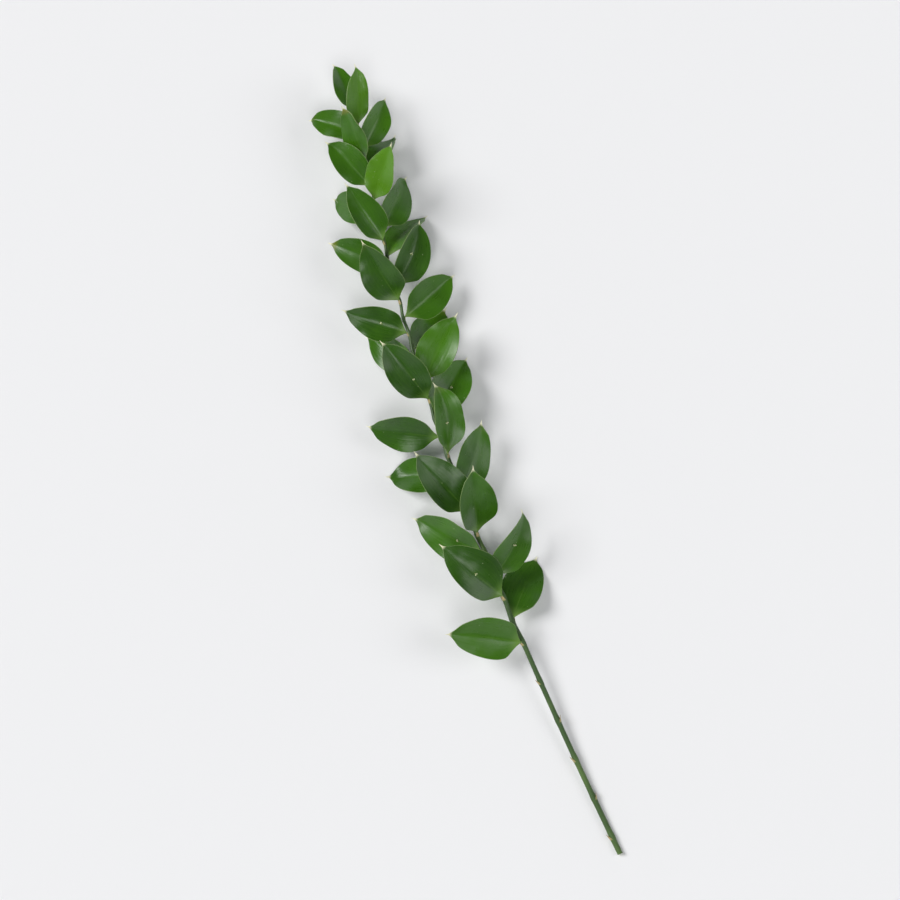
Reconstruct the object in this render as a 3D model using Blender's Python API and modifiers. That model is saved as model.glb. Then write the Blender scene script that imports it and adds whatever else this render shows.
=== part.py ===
"""A cut stem of broad-leaved ruscus, lying on a flat surface.

The stem lies along X, with its cut end at -X and its tip at +X. +Z is up, the surface is z = 0, and
the origin is the middle of the stem's footprint on it. Lengths are in metres, angles in radians.

The plant grew as one piece, so it is one solid: the stem, its leaves and its small scale leaves are
joined by one Boolean union. It rests on three low places: its cut end and two of its leaves, one on
each side, which the surface presses flat.
"""

import math
import random

import bmesh
import bpy
from mathutils import Quaternion, Vector
from mathutils.bvhtree import BVHTree
from mathutils.geometry import area_tri

# The stem: its length, its taper, and the centre of its cut end
STEM_LENGTH = 0.655
BARE_LENGTH = 0.185
CUT_RADIUS = 0.0022
TIP_RADIUS = 0.0008
TAPER_POWER = 1.3
CUT_END = Vector((-0.352, -0.0132, CUT_RADIUS))

# The stem's line: a sideways bow with a hook at the tip, a rise off the surface, and a knee and a
# swelling at each node
BOW = 0.017
HOOK = 0.016
LIFT = 0.0195
LIFT_SHARE = 0.5
TIP_RISE = 0.012
KNEE = 0.0006
NODE_SWELLING = 0.16
SWELLING_REACH = 0.0035
FRAME_STEP = 0.004

# The gaps between nodes: on the bare stem, at the lowest leaves and at the tip
BARE_GAP = 0.034
LOW_GAP = 0.020
TOP_GAP = 0.010

# The leaves' sizes, from the lowest leaf to the one at the tip
LOW_LEAF = 0.069
TOP_LEAF = 0.054
LOW_WIDTH = 0.53
TOP_WIDTH = 0.47

# How the leaves stand: their lean away from the stem, their azimuth round it (0 is up) and their roll
LOW_LEAN = math.radians(59)
TOP_LEAN = math.radians(41)
END_LEAN_SHARE = 0.5
HIGH_AZIMUTH = math.radians(22)
LOW_AZIMUTH = math.radians(120)
ROLL = math.radians(13)
GOLDEN_SHARE = (math.sqrt(5) - 1) / 2
FIRST_TURN = {1: 0.45, -1: 0.8}

# The two leaves that the stem rests on
RESTING_LEAVES = (14, 15)
RESTING_LEAN = math.radians(62)
RESTING_AZIMUTH = math.radians(132)

# How far a leaf's direction strays, and the ranges that its form is drawn from
SEED = 3
AZIMUTH_STRAY = 0.28
LEAN_STRAY = 0.3
ROLL_STRAY = 0.5
LENGTH_SPREAD = (0.92, 1.06)
WIDTH_SPREAD = (0.93, 1.07)
BASE_POWER = (0.62, 0.78)
TIP_POWER = (0.8, 1.02)
FOLD = (0.14, 0.56)
ARCH = (0.1, 0.8)
FLICK = (-0.48, 0.64)
SICKLE = (-0.2, 0.2)
TWIST = (-0.55, 0.55)
WAVE_HEIGHT = (0.0006, 0.0019)
WAVE_COUNT = (1.2, 2.3)

# What all leaves share
BLADE_THICKNESS = 0.0008
STALK_SHARE = 0.05
SPINE_SHARE = 0.035
SPINE_RADIUS = 0.0004
RIB_FADE = 0.5
FLICK_START = 0.6
CREASE = 0.16
MARGIN_POWER = 2.2
RIB_STEPS = 48

# How near a leaf may come to the others and to the stem, and how often it is drawn again
LEAF_CLEARANCE = 0.0016
STEM_CLEARANCE = 0.0016
MAX_TRIES = 400
FREEDOM_GAIN = 1.5

# How the surface bends the leaves that would reach below it
FLOOR_CLEARANCE = 0.0007
PRESS_SOFTNESS = 0.0016
PRESS_DEPTH = 0.0001
PRESSED_POINTS = 3
LEAST_AREA_KEPT = 0.4

# How finely a blade is divided, in the solid and where its clearances are tested
LEAF_ROWS = 11
LEAF_COLUMNS = 4
TEST_ROWS = 10
TEST_FIRST_ROW = 3
STALK_FADE = 0.08
MIDRIB_FADE = 0.35
WELD = 1e-6

# The scale leaves: one under each leaf, and one at each node of the bare stem
SCALE_SIDES = 4
SCALE_LENGTH = 0.006
SCALE_ROOT_RADIUS = 0.0009
SCALE_TIP_RADIUS = 0.0003
SCALE_LEAN = math.radians(24)
SCALE_START = 0.0026
BARE_AZIMUTH = math.radians(70)


def blend(low, high, share):
    return low + (high - low) * share


def smooth(share):
    share = min(max(share, 0.0), 1.0)
    return share * share * (3 - 2 * share)


def leaf_nodes():
    """Distances of the leaves' nodes from the cut end: wide apart low down, close at the tip."""
    nodes = []
    along = BARE_LENGTH
    while along < STEM_LENGTH:
        nodes.append(along)
        along += blend(LOW_GAP, TOP_GAP, (along - BARE_LENGTH) / (STEM_LENGTH - BARE_LENGTH))
    return nodes


def bare_nodes():
    """Distances of the bare stem's nodes, which carry a scale leaf alone."""
    return [BARE_LENGTH - BARE_GAP * step for step in range(1, int(BARE_LENGTH / BARE_GAP) + 1)]


def leaf_side(number):
    """The leaves stand by turns on the +Y and the -Y side."""
    return 1 if number % 2 == 0 else -1


def knee_offset(along, nodes):
    """How far the stem steps aside: away from each leaf at its node, and gradually between."""
    if along <= nodes[0]:
        return -KNEE * smooth(along / nodes[0])
    for number in range(len(nodes) - 1):
        if along <= nodes[number + 1]:
            share = smooth((along - nodes[number]) / (nodes[number + 1] - nodes[number]))
            return KNEE * blend(-leaf_side(number), -leaf_side(number + 1), share)
    return -KNEE * leaf_side(len(nodes) - 1)


def stem_point(along, nodes):
    """Centre of the stem, `along` from its cut end."""
    share = along / STEM_LENGTH
    sideways = BOW * math.sin(math.pi * share) - HOOK * share**4 + knee_offset(along, nodes)
    height = LIFT * smooth(share / LIFT_SHARE) + TIP_RISE * share**3
    return CUT_END + Vector((along, sideways, height))


def stem_radius(along, nodes):
    """Radius of the stem: a taper, swollen at each node."""
    radius = blend(CUT_RADIUS, TIP_RADIUS, (along / STEM_LENGTH) ** TAPER_POWER)
    nearest = min(abs(along - node) for node in nodes)
    return radius * (1 + NODE_SWELLING * math.exp(-((nearest / SWELLING_REACH) ** 2)))


def stem_frame(along, nodes):
    """Centre of the stem, its direction, and the directions up from it and to its +Y side."""
    before = stem_point(along - FRAME_STEP, nodes)
    after = stem_point(along + FRAME_STEP, nodes)
    ahead = (after - before).normalized()
    side = Vector((0, 0, 1)).cross(ahead).normalized()
    return stem_point(along, nodes), ahead, ahead.cross(side), side


class Leaf:
    """One leaf: its midrib's curve, its outline, and how its blade is folded and waved."""

    def __init__(self, draw, number, nodes, freedom):
        along = nodes[number]
        rise = (along - nodes[0]) / (nodes[-1] - nodes[0])
        side = leaf_side(number)
        self.resting = number in RESTING_LEAVES
        turn = (GOLDEN_SHARE * (number // 2) + FIRST_TURN[side]) % 1
        azimuth = RESTING_AZIMUTH if self.resting else blend(HIGH_AZIMUTH, LOW_AZIMUTH, turn)
        self.azimuth = side * (azimuth + freedom * draw.uniform(-AZIMUTH_STRAY, AZIMUTH_STRAY))
        lean = RESTING_LEAN if self.resting else blend(LOW_LEAN, TOP_LEAN, rise)
        lean += freedom * draw.uniform(-LEAN_STRAY, LEAN_STRAY)
        if number == len(nodes) - 1:
            lean *= END_LEAN_SHARE
        roll = -side * ROLL + freedom * draw.uniform(-ROLL_STRAY, ROLL_STRAY)

        self.length = blend(LOW_LEAF, TOP_LEAF, rise**2) * draw.uniform(*LENGTH_SPREAD)
        self.half = self.length * blend(LOW_WIDTH, TOP_WIDTH, rise) / 2
        self.half *= draw.uniform(*WIDTH_SPREAD)
        self.base_power = draw.uniform(*BASE_POWER)
        self.tip_power = draw.uniform(*TIP_POWER)
        self.fold = draw.uniform(*FOLD)
        self.arch = draw.uniform(*ARCH) * (-1 if self.resting else 1)
        self.flick = draw.uniform(*FLICK)
        self.sickle = draw.uniform(*SICKLE)
        self.twist = draw.uniform(*TWIST)
        self.wave_heights = [draw.uniform(*WAVE_HEIGHT) for _ in range(2)]
        self.wave_counts = [draw.uniform(*WAVE_COUNT) for _ in range(2)]
        self.wave_starts = [draw.uniform(0, math.tau) for _ in range(2)]
        self.stalk = stem_radius(along, nodes)
        self.lowest = BLADE_THICKNESS / 2 + (-PRESS_DEPTH if self.resting else FLOOR_CLEARANCE)

        place, ahead, up, beside = stem_frame(along, nodes)
        outward = up * math.cos(self.azimuth) + beside * math.sin(self.azimuth)
        heading = ahead * math.cos(lean) + outward * math.sin(lean)
        across = Vector((0, 0, 1)).cross(heading).normalized()
        face = Quaternion(heading, roll) @ heading.cross(across)
        self.frames = self.carry(place, heading, face)

    def carry(self, place, heading, face):
        """Frames along the midrib, which arches, and flicks up or down towards its point."""
        frames = []
        for count in range(RIB_STEPS + 1):
            across = face.cross(heading)
            frames.append((place, across, face))
            late = smooth((count / RIB_STEPS - FLICK_START) / (1 - FLICK_START))
            bend = self.arch + self.flick * 2 * late / (1 - FLICK_START)
            turn = (
                Quaternion(across, bend / RIB_STEPS)
                @ Quaternion(face, self.sickle / RIB_STEPS)
                @ Quaternion(heading, self.twist / RIB_STEPS)
            )
            heading = (turn @ heading).normalized()
            face = (turn @ face).normalized()
            place = place + heading * (self.length / RIB_STEPS)
        return frames

    def frame_at(self, share):
        """Place on the midrib, and the directions across the blade and up from its upper face."""
        exact = min(max(share, 0.0), 1.0) * RIB_STEPS
        low = min(int(exact), RIB_STEPS - 1)
        pairs = zip(self.frames[low], self.frames[low + 1])
        return [start.lerp(end, exact - low) for start, end in pairs]

    def half_width(self, share):
        """Half the leaf's width: a stalk, a pointed oval blade and a fine spine."""
        inner = (share - STALK_SHARE) / (1 - STALK_SHARE - SPINE_SHARE)
        inner = min(max(inner, 0.0), 1.0)
        widest = self.base_power / (self.base_power + self.tip_power)
        towards_base = (inner / widest) ** self.base_power
        towards_tip = ((1 - inner) / (1 - widest)) ** self.tip_power
        rib = blend(self.stalk / 2, SPINE_RADIUS, smooth(share / RIB_FADE))
        return math.hypot(self.half * towards_base * towards_tip, rib)

    def point(self, share, across):
        """A point of the free blade's middle surface, `across` from -1 to 1 over its width."""
        place, sideways, face = self.frame_at(share)
        half = self.half_width(share)
        edge = 0 if across < 0 else 1
        wave = self.wave_heights[edge] * abs(across) ** MARGIN_POWER * math.sin(math.pi * share)
        wave *= math.sin(math.tau * self.wave_counts[edge] * share + self.wave_starts[edge])
        lift = self.fold * half * (math.hypot(across, CREASE) - CREASE) + wave
        return place + sideways * (half * across) + face * lift

    def pressed(self, point):
        """Where the surface bends that point to: its height fades into the leaf's lowest."""
        above = (point.z - self.lowest) / PRESS_SOFTNESS
        return Vector((point.x, point.y, self.lowest + PRESS_SOFTNESS * math.log1p(math.exp(above))))


def row_share(row, rows):
    """How far along its leaf a row lies: the rows crowd at both ends."""
    return (1 - math.cos(math.pi * row / rows)) / 2


def grid_mesh(leaf, rows, first_row=0):
    """Points and triangles of the free blade's middle surface, split alike on both halves."""
    width = LEAF_COLUMNS + 1
    points = [
        leaf.point(row_share(row, rows), 2 * column / LEAF_COLUMNS - 1)
        for row in range(first_row, rows + 1)
        for column in range(width)
    ]
    triangles = []
    for row in range(rows - first_row):
        for column in range(LEAF_COLUMNS):
            near = row * width + column
            far = near + width
            if column < LEAF_COLUMNS / 2:
                triangles += [(near, near + 1, far), (near + 1, far + 1, far)]
            else:
                triangles += [(near, near + 1, far + 1), (near, far + 1, far)]
    return points, triangles


def lies_well(leaf, free, points, triangles):
    """True if the surface squeezes no part of the leaf, and presses a resting leaf flat enough."""
    for corners in triangles:
        before = area_tri(*(free[corner] for corner in corners))
        after = area_tri(*(points[corner] for corner in corners))
        if after < LEAST_AREA_KEPT * before:
            return False
    flat = [point for point in points if point.z < leaf.lowest + PRESS_DEPTH / 2]
    return not leaf.resting or len(flat) >= PRESSED_POINTS


def is_clear(tree, points, others, nodes):
    """True if a leaf's test surface keeps its clearances to the others and to the stem."""
    for other_tree, other_points in others:
        if tree.overlap(other_tree):
            return False
        if any(other_tree.find_nearest(point, LEAF_CLEARANCE)[0] for point in points):
            return False
        if any(tree.find_nearest(point, LEAF_CLEARANCE)[0] for point in other_points):
            return False
    for point in points:
        along = point.x - CUT_END.x
        if along < STEM_LENGTH:
            gap = (point - stem_point(along, nodes)).length - stem_radius(along, nodes)
            if gap < STEM_CLEARANCE:
                return False
    return True


def draw_leaves(nodes):
    """The leaves in turn, each drawn again, more and more freely, until it is clear of the rest."""
    draw = random.Random(SEED)
    leaves = []
    tested = []
    for number in range(len(nodes)):
        for attempt in range(MAX_TRIES):
            leaf = Leaf(draw, number, nodes, 1 + FREEDOM_GAIN * attempt / MAX_TRIES)
            free, triangles = grid_mesh(leaf, TEST_ROWS, TEST_FIRST_ROW)
            points = [leaf.pressed(point) for point in free]
            tree = BVHTree.FromPolygons(points, triangles)
            lies = lies_well(leaf, free, points, triangles)
            if lies and is_clear(tree, points, tested, nodes):
                break
        else:
            raise ValueError(f"leaf {number} finds no clear place")
        leaves.append(leaf)
        tested.append((tree, points))
    return leaves


def make_material():
    """Fresh leaf green, half glossy."""
    material = bpy.data.materials.new("fresh_green")
    material.use_nodes = True
    shader = material.node_tree.nodes["Principled BSDF"]
    shader.inputs["Base Color"].default_value = (0.055, 0.14, 0.025, 1)
    shader.inputs["Roughness"].default_value = 0.4
    shader.inputs["Metallic"].default_value = 0.0
    return material


def add_object(name, data, collection):
    thing = bpy.data.objects.new(name, data)
    collection.objects.link(thing)
    return thing


def make_stem(nodes, collection):
    """The stem: a tapered tube with a ring at each node and one between, made a closed mesh."""
    all_nodes = bare_nodes() + nodes
    knots = sorted([0.0, *all_nodes, STEM_LENGTH])
    stops = sorted(knots + [(low + high) / 2 for low, high in zip(knots, knots[1:])])
    curve = bpy.data.curves.new("stem_curve", "CURVE")
    curve.dimensions = "3D"
    curve.bevel_depth = CUT_RADIUS
    curve.bevel_resolution = 2
    curve.use_fill_caps = True
    spline = curve.splines.new("POLY")
    spline.points.add(len(stops) - 1)
    for point, stop in zip(spline.points, stops):
        point.co = (*stem_point(stop, nodes), 1)
        point.radius = stem_radius(stop, all_nodes) / CUT_RADIUS

    tube = add_object("stem_tube", curve, collection)
    bpy.context.view_layer.update()
    evaluated = tube.evaluated_get(bpy.context.evaluated_depsgraph_get())
    mesh = bpy.data.meshes.new_from_object(evaluated)
    work = bmesh.new()
    work.from_mesh(mesh)
    bmesh.ops.remove_doubles(work, verts=work.verts, dist=WELD)
    work.to_mesh(mesh)
    work.free()
    stem = add_object("leafy_stem", mesh, collection)
    stem.matrix_world = tube.matrix_world
    bpy.data.objects.remove(tube)
    return stem


def make_leaf(leaf, name, collection):
    """A blade: its middle surface, thickened to both sides, and thicker at the stalk and midrib."""
    free, triangles = grid_mesh(leaf, LEAF_ROWS)
    mesh = bpy.data.meshes.new(name)
    mesh.from_pydata([leaf.pressed(point) for point in free], [], triangles)
    blade = add_object(name, mesh, collection)
    group = blade.vertex_groups.new(name="stalk")
    for index in range(len(free)):
        row, column = divmod(index, LEAF_COLUMNS + 1)
        reach = MIDRIB_FADE if column == LEAF_COLUMNS // 2 else STALK_FADE
        past_stalk = (row_share(row, LEAF_ROWS) - STALK_SHARE) / reach
        group.add([index], 1 - smooth(past_stalk), "REPLACE")
    shell = blade.modifiers.new("thickness", "SOLIDIFY")
    shell.thickness = leaf.stalk
    shell.offset = 0
    shell.vertex_group = group.name
    shell.thickness_vertex_group = min(BLADE_THICKNESS / leaf.stalk, 1.0)


def make_scale(along, azimuth, nodes, name, collection):
    """A small pointed scale leaf: a slim cone with its root in the stem, just below the node."""
    place, ahead, up, beside = stem_frame(along - SCALE_START, nodes)
    outward = up * math.cos(azimuth) + beside * math.sin(azimuth)
    heading = ahead * math.cos(SCALE_LEAN) + outward * math.sin(SCALE_LEAN)
    root = place + outward * (stem_radius(along, nodes) - SCALE_ROOT_RADIUS)
    mesh = bpy.data.meshes.new(name)
    work = bmesh.new()
    bmesh.ops.create_cone(
        work,
        cap_ends=True,
        segments=SCALE_SIDES,
        radius1=SCALE_ROOT_RADIUS,
        radius2=SCALE_TIP_RADIUS,
        depth=SCALE_LENGTH,
    )
    work.to_mesh(mesh)
    work.free()
    scale = add_object(name, mesh, collection)
    scale.rotation_mode = "QUATERNION"
    scale.rotation_quaternion = heading.to_track_quat("Z", "X")
    scale.location = root + heading * (SCALE_LENGTH / 2)


def fuse(stem, growths):
    """Join all that grows from the stem to it, and remove the separate objects."""
    union = stem.modifiers.new("growths", "BOOLEAN")
    union.operation = "UNION"
    union.operand_type = "COLLECTION"
    union.collection = growths
    union.solver = "EXACT"
    bpy.context.view_layer.update()
    evaluated = stem.evaluated_get(bpy.context.evaluated_depsgraph_get())
    fused = bpy.data.meshes.new_from_object(evaluated)
    fused.name = stem.name
    stem.modifiers.remove(union)
    stem.data = fused
    for growth in list(growths.objects):
        bpy.data.objects.remove(growth)
    bpy.data.collections.remove(growths)


def main():
    for old in list(bpy.data.objects):
        bpy.data.objects.remove(old)
    plant = bpy.data.collections.new("ruscus_stem")
    growths = bpy.data.collections.new("growths")
    bpy.context.scene.collection.children.link(plant)
    bpy.context.scene.collection.children.link(growths)

    nodes = leaf_nodes()
    leaves = draw_leaves(nodes)
    stem = make_stem(nodes, plant)
    for number, leaf in enumerate(leaves):
        make_leaf(leaf, f"leaf_{number + 1:02d}", growths)
        make_scale(nodes[number], leaf.azimuth, nodes, f"scale_{number + 1:02d}", growths)
    for number, along in enumerate(bare_nodes()):
        azimuth = leaf_side(number) * BARE_AZIMUTH
        make_scale(along, azimuth, nodes, f"bare_scale_{number + 1}", growths)
    fuse(stem, growths)

    # What the surface presses is flat underneath
    for vertex in stem.data.vertices:
        vertex.co.z = max(vertex.co.z, 0.0)
    stem.data.materials.clear()
    stem.data.materials.append(make_material())
    stem.data.shade_smooth()


main()
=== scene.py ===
# %% [markdown]
# # A ruscus stem on a pale table
#
# Broad-leaved ruscus is a florist's greenery: a thin green stem with leathery leaves on both sides.
# This lesson dresses a plain solid model of one cut stem, which is loaded here and never moved. Each
# visible piece is made anew, finer than the solid, at the same place and on the same formulas.

# %% Load the solid model
import math
import random

import bpy
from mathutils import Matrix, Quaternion, Vector
from mathutils.bvhtree import BVHTree
from mathutils.geometry import area_tri


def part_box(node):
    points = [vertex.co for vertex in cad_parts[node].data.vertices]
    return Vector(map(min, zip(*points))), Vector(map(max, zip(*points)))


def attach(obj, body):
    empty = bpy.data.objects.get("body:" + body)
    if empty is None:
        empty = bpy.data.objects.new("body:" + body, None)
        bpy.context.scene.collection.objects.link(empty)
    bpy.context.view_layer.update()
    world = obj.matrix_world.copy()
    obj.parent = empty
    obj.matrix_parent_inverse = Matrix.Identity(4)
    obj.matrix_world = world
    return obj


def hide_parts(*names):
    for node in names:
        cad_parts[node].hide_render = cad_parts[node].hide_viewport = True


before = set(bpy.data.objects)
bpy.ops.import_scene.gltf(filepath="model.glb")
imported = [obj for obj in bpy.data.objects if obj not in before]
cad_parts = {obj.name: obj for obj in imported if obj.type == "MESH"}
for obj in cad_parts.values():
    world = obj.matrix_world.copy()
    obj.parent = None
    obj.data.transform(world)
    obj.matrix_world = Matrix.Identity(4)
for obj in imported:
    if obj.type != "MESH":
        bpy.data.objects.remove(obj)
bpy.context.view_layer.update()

MM_PER_M = 1000

solid_low, solid_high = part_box("leafy_stem")
print("solid model, mm:", [round(size * MM_PER_M) for size in solid_high - solid_low])

# %% [markdown]
# ## The camera
#
# The camera comes first, so that every later step can be looked at. A cut stem can't stand, so it
# lies down and the camera looks down on it. On the picture the stem leans to the left with its tip
# up, at 0.82 mm to a pixel. A long lens keeps the near and the far end at nearly the same scale.

# %% Camera
PICTURE_PIXELS = 900
PIXEL_SIZE = 0.00082
LENS = 85
SENSOR = 36
CAMERA_ELEVATION = math.radians(78)
PICTURE_LEAN = math.radians(20.7)


def look_down(aim):
    """A camera over the point `aim`, with the picture's upward direction to the right of +X."""
    data = bpy.data.cameras.new("camera")
    data.lens = LENS
    data.sensor_width = SENSOR
    camera = bpy.data.objects.new("camera", data)
    bpy.context.scene.collection.objects.link(camera)
    distance = PIXEL_SIZE * PICTURE_PIXELS * LENS / SENSOR
    upward = Vector((math.cos(PICTURE_LEAN), -math.sin(PICTURE_LEAN), 0))
    back = Vector((0, 0, math.sin(CAMERA_ELEVATION))) - upward * math.cos(CAMERA_ELEVATION)
    camera.location = aim + back * distance
    camera.rotation_euler = (-back).to_track_quat("-Z", "Y").to_euler()
    bpy.context.scene.camera = camera
    return distance


camera_distance = look_down((solid_low + solid_high) / 2)
print(f"the camera is {camera_distance:.2f} m from the stem")

# %% [markdown]
# ## The line of the stem
#
# The stem tapers from 4.4 mm at the cut to 1.6 mm at the tip. Its leaves grow at nodes, which are
# 20 mm apart low down and 10 mm apart at the tip, and the stem steps aside a little at each, away
# from its leaf. All later pieces are placed from these few functions of the distance along the stem.

# %% Sizes of the stem
STEM_LENGTH = 0.655
BARE_LENGTH = 0.185
CUT_RADIUS = 0.0022
TIP_RADIUS = 0.0008
TAPER_POWER = 1.3
CUT_END = Vector((-0.352, -0.0132, CUT_RADIUS))
BOW = 0.017
HOOK = 0.016
LIFT = 0.0195
LIFT_SHARE = 0.5
TIP_RISE = 0.012
KNEE = 0.0006
NODE_SWELLING = 0.16
SWELLING_REACH = 0.0035
FRAME_STEP = 0.004
BARE_GAP = 0.034
GAPS = (0.020, 0.010)


def blend(low, high, share):
    return low + (high - low) * share


def smooth(share):
    share = min(max(share, 0.0), 1.0)
    return share * share * (3 - 2 * share)


# %% Nodes and the line through them
def leaf_nodes():
    """Distances of the leaves' nodes from the cut end."""
    nodes = []
    along = BARE_LENGTH
    while along < STEM_LENGTH:
        nodes.append(along)
        along += blend(*GAPS, (along - BARE_LENGTH) / (STEM_LENGTH - BARE_LENGTH))
    return nodes


def leaf_side(number):
    """The leaves stand by turns on the +Y and the -Y side."""
    return 1 if number % 2 == 0 else -1


def knee_offset(along):
    """How far the stem steps aside: away from each leaf at its node, and gradually between."""
    if along <= nodes[0]:
        return -KNEE * smooth(along / nodes[0])
    for number in range(len(nodes) - 1):
        if along <= nodes[number + 1]:
            share = smooth((along - nodes[number]) / (nodes[number + 1] - nodes[number]))
            return KNEE * blend(-leaf_side(number), -leaf_side(number + 1), share)
    return -KNEE * leaf_side(len(nodes) - 1)


def stem_point(along):
    """Centre of the stem, `along` from its cut end."""
    share = along / STEM_LENGTH
    sideways = BOW * math.sin(math.pi * share) - HOOK * share**4 + knee_offset(along)
    height = LIFT * smooth(share / LIFT_SHARE) + TIP_RISE * share**3
    return CUT_END + Vector((along, sideways, height))


def stem_radius(along, swollen):
    """Radius of the stem: a taper, swollen at each of the nodes given."""
    radius = blend(CUT_RADIUS, TIP_RADIUS, (along / STEM_LENGTH) ** TAPER_POWER)
    nearest = min(abs(along - node) for node in swollen)
    return radius * (1 + NODE_SWELLING * math.exp(-((nearest / SWELLING_REACH) ** 2)))


def stem_frame(along):
    """Centre of the stem, its direction, and the directions up from it and to its +Y side."""
    ahead = (stem_point(along + FRAME_STEP) - stem_point(along - FRAME_STEP)).normalized()
    side = Vector((0, 0, 1)).cross(ahead).normalized()
    return stem_point(along), ahead, ahead.cross(side), side


nodes = leaf_nodes()
bare_nodes = [BARE_LENGTH - BARE_GAP * step for step in range(1, int(BARE_LENGTH / BARE_GAP) + 1)]
print(len(nodes), "leaves and", len(bare_nodes), "bare nodes")

# %% [markdown]
# ## Sockets that add up
#
# A node tree is a drawing of a formula. Written out node by node, the formula is hard to read, so a
# small class wraps a socket and lets Python's own signs add the Math nodes: with it, `1 - mask` and
# `blend(low, high, mask)` work on sockets. The same class serves the shaders and the geometry.

# %% A socket with arithmetic
def sign(operation, swapped=False):
    """The method behind one of Python's signs, which adds a Math node of that kind."""
    def method(socket, *others):
        values = (*others, socket) if swapped else (socket, *others)
        return socket.graph.math(operation, *values)

    return method


class Socket:
    """An output of a node. Arithmetic on it adds Math nodes to its tree."""

    def __init__(self, graph, link):
        self.graph = graph
        self.link = link

    def other(self, name):
        """Another output of the same node."""
        return Socket(self.graph, self.link.node.outputs[name])

    __add__ = __radd__ = sign("ADD")
    __mul__ = __rmul__ = sign("MULTIPLY")
    __sub__ = sign("SUBTRACT")
    __rsub__ = sign("SUBTRACT", swapped=True)
    __truediv__ = sign("DIVIDE")
    __pow__ = sign("POWER")
    __abs__ = sign("ABSOLUTE")


# %% A tree of nodes
class Graph:
    """A node tree, with the few formulas that the pieces share."""

    def __init__(self, tree):
        self.tree = tree

    def node(self, kind, settings=None, values=(), output=0):
        """Adds a node: its settings first, then its inputs, by place or by name."""
        node = self.tree.nodes.new(kind)
        for name, value in (settings or {}).items():
            setattr(node, name, value)
        named = values.items() if isinstance(values, dict) else enumerate(values)
        for name, value in named:
            self.feed(node.inputs[name], value)
        return Socket(self, node.outputs[output]) if len(node.outputs) else node

    def feed(self, socket, value):
        if isinstance(value, Socket):
            self.tree.links.new(value.link, socket)
        else:
            socket.default_value = value

    def math(self, operation, *values):
        return self.node("ShaderNodeMath", {"operation": operation}, values)

    def clamped(self, value):
        return self.math("MINIMUM", self.math("MAXIMUM", value, 0), 1)

    def fade(self, value, start, end, low=0.0, high=1.0):
        """Goes smoothly from low at start to high at end, and stays at them outside."""
        settings = {"interpolation_type": "SMOOTHSTEP"}
        return self.node("ShaderNodeMapRange", settings, (value, start, end, low, high))

    def rounded(self, value):
        """A quarter circle: rises from 0 at 0 to 1 at 1, and stays there."""
        inward = 1 - self.clamped(value)
        return self.math("SQRT", 1 - inward * inward)

    def vector(self, operation, *values):
        return self.node("ShaderNodeVectorMath", {"operation": operation}, values)

    def scaled(self, vector, size):
        values = {"Vector": vector, "Scale": size}
        return self.node("ShaderNodeVectorMath", {"operation": "SCALE"}, values)

    def combine(self, x, y, z):
        return self.node("ShaderNodeCombineXYZ", {}, (x, y, z))

    def separate(self, vector):
        parts = self.node("ShaderNodeSeparateXYZ", {}, (vector,))
        return parts, parts.other("Y"), parts.other("Z")

    def noise(self, vector, size, detail=2.0):
        """Soft noise from 0 to 1, with blotches of about `size` in the vector's own unit."""
        values = {"Vector": vector, "Scale": 1 / size, "Detail": detail}
        return self.node("ShaderNodeTexNoise", {}, values)


# %% [markdown]
# ## Geometry trees and the pieces grown from them
#
# A Geometry Nodes tree turns a simple guide, such as a line of points, into a finished surface. Its
# named inputs hold the sizes, so one tree serves every leaf. The result is taken from the evaluated
# object as a plain mesh, and the modifier is removed, so that what follows sees only a mesh.

# %% A tree that makes geometry
WHOLE_INPUTS = ("Sides", "Rows", "Columns")


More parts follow.
